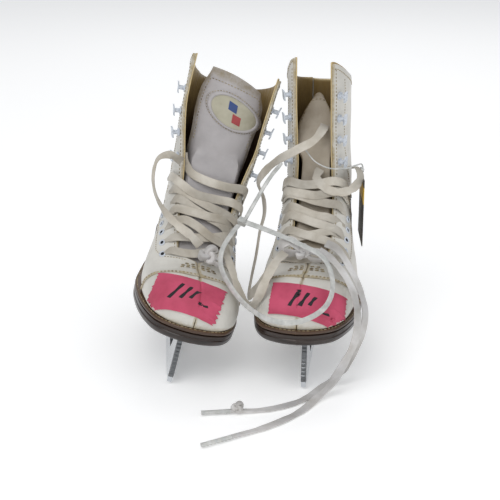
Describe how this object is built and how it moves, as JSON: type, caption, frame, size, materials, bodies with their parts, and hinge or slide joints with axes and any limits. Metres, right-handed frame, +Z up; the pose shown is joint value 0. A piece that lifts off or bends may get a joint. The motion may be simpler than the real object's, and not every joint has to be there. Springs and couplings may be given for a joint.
{
  "type": "pair of figure skates",
  "caption": "Pair of lace-up leather figure skates standing on their steel blades, tied together by their laces and a nylon cable tie, one boot leaning on the other.",
  "frame": {"origin": "on the ice under the middle of the pair's box, free laces left out", "axes": "+Z up, toes towards -Y, the wearer's right boot at -X and the left boot at +X"},
  "size_m": [0.1889, 0.2902, 0.2402],
  "materials": {
    "white_leather": "satin, worn",
    "lining": "matt",
    "brown_sole": "glossy dark brown edge",
    "brown_welt": "satin brown",
    "chrome_steel": "polished",
    "coated_hook": "white plastic coat on steel",
    "lace": "woven cotton, used",
    "pink_tape": "cloth-backed tape",
    "clear_nylon": "translucent",
    "dark_card": "printed card",
    "badge_panel": "satin"
  },
  "bodies": {
    "pair": {"right_vamp": "white_leather", "right_quarter_inner": "white_leather", "right_quarter_outer": "white_leather", "right_backstay": "white_leather", "right_tongue_base": "white_leather", "right_footbed": "lining", "right_welt": "brown_welt", "right_outsole": "brown_sole", "right_heel": "brown_sole", "right_toe_plate": "chrome_steel", "right_heel_plate": "chrome_steel", "right_blade": "chrome_steel", "right_hook_outer_1": "coated_hook", "right_hook_outer_2": "coated_hook", "right_hook_outer_3": "coated_hook", "right_hook_outer_4": "coated_hook", "right_hook_inner_1": "coated_hook", "right_hook_inner_2": "coated_hook", "right_hook_inner_3": "coated_hook", "right_hook_inner_4": "coated_hook", "right_lacing": "lace", "right_tape_label": "pink_tape", "left_vamp": "white_leather", "left_quarter_inner": "white_leather", "left_quarter_outer": "white_leather", "left_backstay": "white_leather", "left_tongue_base": "white_leather", "left_footbed": "lining", "left_welt": "brown_welt", "left_outsole": "brown_sole", "left_heel": "brown_sole", "left_toe_plate": "chrome_steel", "left_heel_plate": "chrome_steel", "left_blade": "chrome_steel", "left_hook_inner_1": "coated_hook", "left_hook_inner_2": "coated_hook", "left_hook_inner_3": "coated_hook", "left_hook_inner_4": "coated_hook", "left_hook_outer_1": "coated_hook", "left_hook_outer_2": "coated_hook", "left_hook_outer_3": "coated_hook", "left_hook_outer_4": "coated_hook", "left_lacing": "lace", "left_tape_label": "pink_tape", "lace_loop_right": "lace", "lace_hang_front": "lace", "lace_cross": "lace", "lace_tail_a": "lace", "lace_tail_b": "lace", "lace_loop_left": "lace", "aglet_a": "clear_nylon", "aglet_b": "clear_nylon", "right_knot": "lace", "left_knot": "lace", "cable_tie": "clear_nylon", "left_tag_fastener": "clear_nylon"},
    "right_tongue_flap": {"right_tongue": "white_leather", "right_tongue_badge": "badge_panel"},
    "left_tongue_flap": {"left_tongue": "white_leather"},
    "hang_tag": {"left_hang_tag": "dark_card"}
  },
  "joints": [
    {"name": "right_tongue_flex", "type": "hinge", "parent": "pair", "child": "right_tongue_flap", "pos_m": [-0.02696, 0.01959, 0.15434], "axis": [0.9598, 0.0688, -0.2723], "range_deg": [-10, 50]},
    {"name": "left_tongue_flex", "type": "hinge", "parent": "pair", "child": "left_tongue_flap", "pos_m": [0.05316, 0.00674, 0.1621], "axis": [0.991, -0.134, 0], "range_deg": [-10, 6]},
    {"name": "hang_tag_swing", "type": "hinge", "parent": "pair", "child": "hang_tag", "pos_m": [0.0921, 0.0188, 0.1415], "axis": [-0.0174, -0.9998, 0], "range_deg": [0, 80]}
  ]
}
